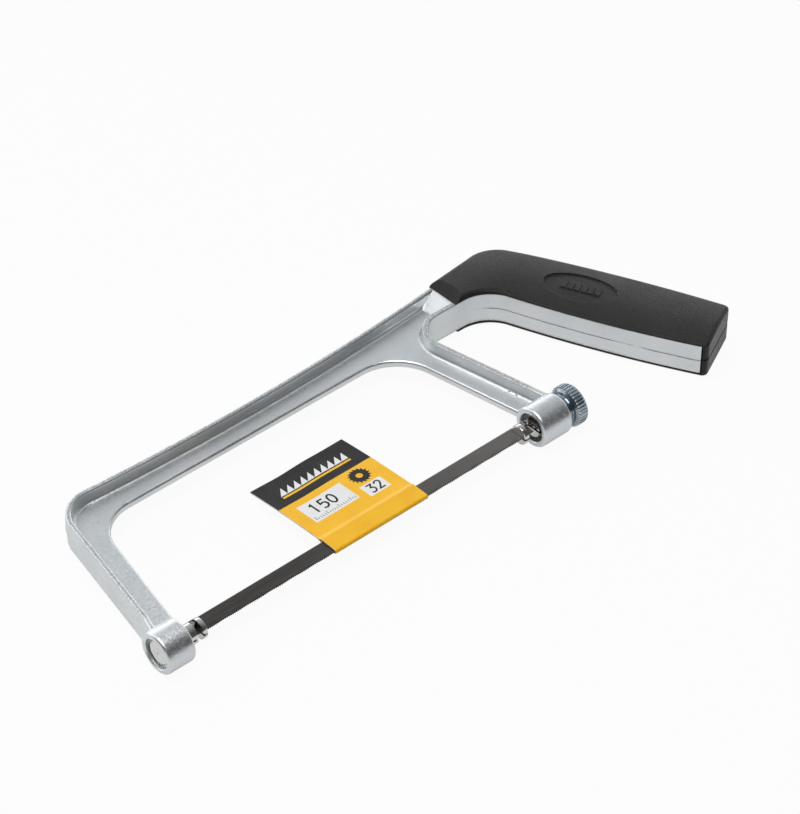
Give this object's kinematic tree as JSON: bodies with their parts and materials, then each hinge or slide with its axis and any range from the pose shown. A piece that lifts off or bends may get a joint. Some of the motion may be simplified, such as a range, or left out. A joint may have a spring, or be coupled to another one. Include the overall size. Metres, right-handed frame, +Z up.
{
  "type": "mini hacksaw",
  "caption": "Small hacksaw: a light cast bow with a plastic-clad pistol handle holds a narrow pin-end blade between two hooked studs; a knurled nut sets its tension.",
  "frame": {"origin": "centre of the underside of the saw's box, as it lies on its side", "axes": "+X along the blade from the front stud to the handle, +Y from the blade towards the spine, +Z up through the thickness, away from the table"},
  "size_m": [0.2584, 0.0938, 0.0162],
  "materials": {
    "casting": "silver-grey lacquered die casting, satin",
    "stud": "bright nickel plate",
    "nut": "bluish zinc plate",
    "blade": "dark tempered steel, semi-gloss",
    "pin": "bare steel, dull",
    "grip": "finely grained charcoal plastic",
    "screw": "zinc plate",
    "sleeve": "glossy printed paper, amber with a black band"
  },
  "bodies": {
    "frame": {"frame_casting": "casting", "front_stud": "stud", "grip_upper": "grip", "grip_lower": "grip", "grip_screw_1": "screw", "grip_screw_2": "screw", "grip_screw_3": "screw"},
    "nut": {"tension_nut": "nut"},
    "stud": {"rear_stud": "stud"},
    "saw_blade": {"blade": "blade", "blade_pin_front": "pin", "blade_pin_rear": "pin"},
    "sleeve": {"blade_sleeve": "sleeve"}
  },
  "joints": [
    {"name": "nut_spin", "type": "hinge", "parent": "frame", "child": "nut", "pos_m": [0.05146, -0.03204, 0.0081], "axis": [1, 0, 0], "range_deg": [0, 1080]},
    {"name": "stud_slide", "type": "slide", "parent": "frame", "child": "stud", "axis": [1, 0, 0], "range_m": [-0.0024, 0]},
    {"name": "blade_lift", "type": "slide", "parent": "frame", "child": "saw_blade", "axis": [0, -1, 0], "range_m": [0, 0.012]},
    {"name": "sleeve_slide", "type": "slide", "parent": "saw_blade", "child": "sleeve", "axis": [1, 0, 0], "range_m": [-0.05, 0.04]}
  ],
  "couplings": [
    {"joint": "stud_slide", "follows": "nut_spin", "m_per_rad": -0.00012732}
  ]
}
